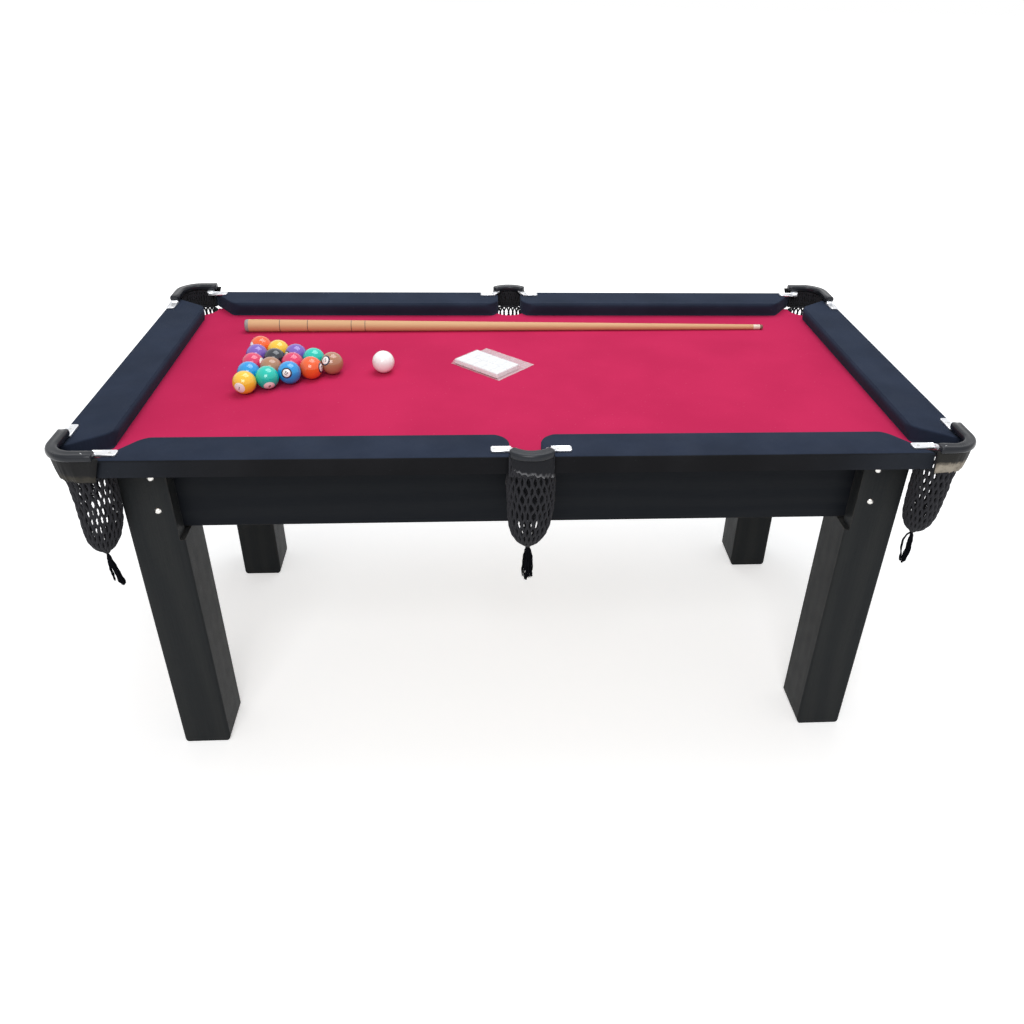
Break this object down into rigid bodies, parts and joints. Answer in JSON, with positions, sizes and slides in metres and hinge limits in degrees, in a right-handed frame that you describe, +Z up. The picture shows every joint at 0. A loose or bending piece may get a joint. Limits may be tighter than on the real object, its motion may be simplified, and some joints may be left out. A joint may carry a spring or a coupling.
{
  "type": "net-pocket pool table",
  "caption": "Net-pocket pool table on square legs, with cloth-covered rails, cast pocket irons, a rack of balls, a cue and a chalk packet on its bed.",
  "frame": {"origin": "on the floor under the middle of the table", "axes": "+X along the table's length, +Y to its back, +Z up"},
  "size_m": [1.766, 0.99, 0.82],
  "materials": {
    "slab_board": "matte",
    "bed_cloth": "felted",
    "rail_wood": "matte",
    "cushion_rubber": "matte",
    "rail_cloth": "felted",
    "cast_aluminium": "as cast, tumbled",
    "collar_rubber": "satin",
    "net_cord": "knotted cord",
    "black_stained_wood": "satin black",
    "bare_pine": "sawn",
    "bright_bolt": "polished",
    "zinc_steel": "zinc plated",
    "ball_white": "polished",
    "ball_yellow": "polished",
    "ball_blue": "polished",
    "ball_red": "polished",
    "ball_purple": "polished",
    "ball_orange": "polished",
    "ball_green": "polished",
    "ball_brown": "polished",
    "ball_black": "polished",
    "cue_wood": "varnished",
    "bumper_rubber": "matte",
    "ferrule_plastic": "satin",
    "tip_leather": "matte",
    "clear_film": "clear film",
    "chalk": "chalky"
  },
  "bodies": {
    "table": {"bed_slab": "slab_board", "bed_cloth": "bed_cloth", "rail_core_front_left": "rail_wood", "rail_core_front_right": "rail_wood", "rail_core_back_left": "rail_wood", "rail_core_back_right": "rail_wood", "rail_core_left_end": "rail_wood", "rail_core_right_end": "rail_wood", "cushion_rubbers": "cushion_rubber", "rail_cloths": "rail_cloth", "pocket_irons": "cast_aluminium", "collar_front_left": "collar_rubber", "collar_front_middle": "collar_rubber", "collar_front_right": "collar_rubber", "collar_back_left": "collar_rubber", "collar_back_middle": "collar_rubber", "collar_back_right": "collar_rubber", "net_front_left": "net_cord", "net_front_middle": "net_cord", "net_front_right": "net_cord", "net_back_left": "net_cord", "net_back_middle": "net_cord", "net_back_right": "net_cord", "apron_front": "black_stained_wood", "apron_back": "black_stained_wood", "apron_left": "black_stained_wood", "apron_right": "black_stained_wood", "leg_front_left": "black_stained_wood", "leg_front_right": "black_stained_wood", "leg_back_left": "black_stained_wood", "leg_back_right": "black_stained_wood", "cross_bearers": "bare_pine", "corner_blocks": "bare_pine", "leg_bolts": "bright_bolt", "leg_nuts": "zinc_steel", "rail_bolts": "zinc_steel", "ear_bolts": "zinc_steel", "slab_screws": "zinc_steel"},
    "cue_ball": {"cue_ball": "ball_white"},
    "cue": {"cue_shaft": "cue_wood", "cue_bumper": "bumper_rubber", "cue_ferrule": "ferrule_plastic", "cue_tip": "tip_leather"},
    "chalk_packet": {"chalk_bag": "clear_film", "chalk_blocks": "chalk"},
    "ball_1": {"ball_1": "ball_yellow"},
    "ball_2": {"ball_2": "ball_blue"},
    "ball_3": {"ball_3": "ball_red"},
    "ball_4": {"ball_4": "ball_purple"},
    "ball_5": {"ball_5": "ball_orange"},
    "ball_6": {"ball_6": "ball_green"},
    "ball_7": {"ball_7": "ball_brown"},
    "ball_8": {"ball_8": "ball_black"},
    "ball_9": {"ball_9": "ball_yellow"},
    "ball_10": {"ball_10": "ball_blue"},
    "ball_11": {"ball_11": "ball_red"},
    "ball_12": {"ball_12": "ball_purple"},
    "ball_13": {"ball_13": "ball_orange"},
    "ball_14": {"ball_14": "ball_green"},
    "ball_15": {"ball_15": "ball_brown"}
  },
  "joints": [
    {"name": "cue_ball_roll", "type": "slide", "parent": "table", "child": "cue_ball", "axis": [0, 1, 0], "range_m": [-0.35, 0.22]},
    {"name": "ball_1_roll", "type": "slide", "parent": "table", "child": "ball_1", "axis": [-1, 0, 0], "range_m": [0, 0.16]},
    {"name": "ball_2_roll", "type": "slide", "parent": "table", "child": "ball_2", "axis": [-1, 0, 0], "range_m": [0, 0.16]},
    {"name": "ball_3_roll", "type": "slide", "parent": "table", "child": "ball_3", "axis": [-1, 0, 0], "range_m": [0, 0.16]},
    {"name": "ball_4_roll", "type": "slide", "parent": "table", "child": "ball_4", "axis": [-1, 0, 0], "range_m": [0, 0.16]},
    {"name": "ball_5_roll", "type": "slide", "parent": "table", "child": "ball_5", "axis": [-1, 0, 0], "range_m": [0, 0.16]},
    {"name": "ball_6_roll", "type": "slide", "parent": "table", "child": "ball_6", "axis": [0.5135, -0.8581, 0], "range_m": [0, 0.18]},
    {"name": "ball_10_roll", "type": "slide", "parent": "table", "child": "ball_10", "axis": [0.5135, -0.8581, 0], "range_m": [0, 0.18]},
    {"name": "ball_13_roll", "type": "slide", "parent": "table", "child": "ball_13", "axis": [0.5135, -0.8581, 0], "range_m": [0, 0.18]},
    {"name": "ball_9_roll", "type": "slide", "parent": "table", "child": "ball_9", "axis": [0.4863, 0.8738, 0], "range_m": [0, 0.15]},
    {"name": "ball_12_roll", "type": "slide", "parent": "table", "child": "ball_12", "axis": [0.4863, 0.8738, 0], "range_m": [0, 0.15]},
    {"name": "ball_14_roll", "type": "slide", "parent": "table", "child": "ball_14", "axis": [0.4863, 0.8738, 0], "range_m": [0, 0.15]},
    {"name": "ball_15_roll", "type": "slide", "parent": "table", "child": "ball_15", "axis": [1, 0, 0], "range_m": [0, 0.06]},
    {"name": "ball_7_lift", "type": "slide", "parent": "table", "child": "ball_7", "axis": [0, 0, 1], "range_m": [0, 0.15]},
    {"name": "ball_8_lift", "type": "slide", "parent": "table", "child": "ball_8", "axis": [0, 0, 1], "range_m": [0, 0.15]},
    {"name": "ball_11_lift", "type": "slide", "parent": "table", "child": "ball_11", "axis": [0, 0, 1], "range_m": [0, 0.15]},
    {"name": "cue_lift", "type": "slide", "parent": "table", "child": "cue", "axis": [0, 0, 1], "range_m": [0, 0.15]},
    {"name": "chalk_packet_lift", "type": "slide", "parent": "table", "child": "chalk_packet", "axis": [0, 0, 1], "range_m": [0, 0.12]}
  ]
}
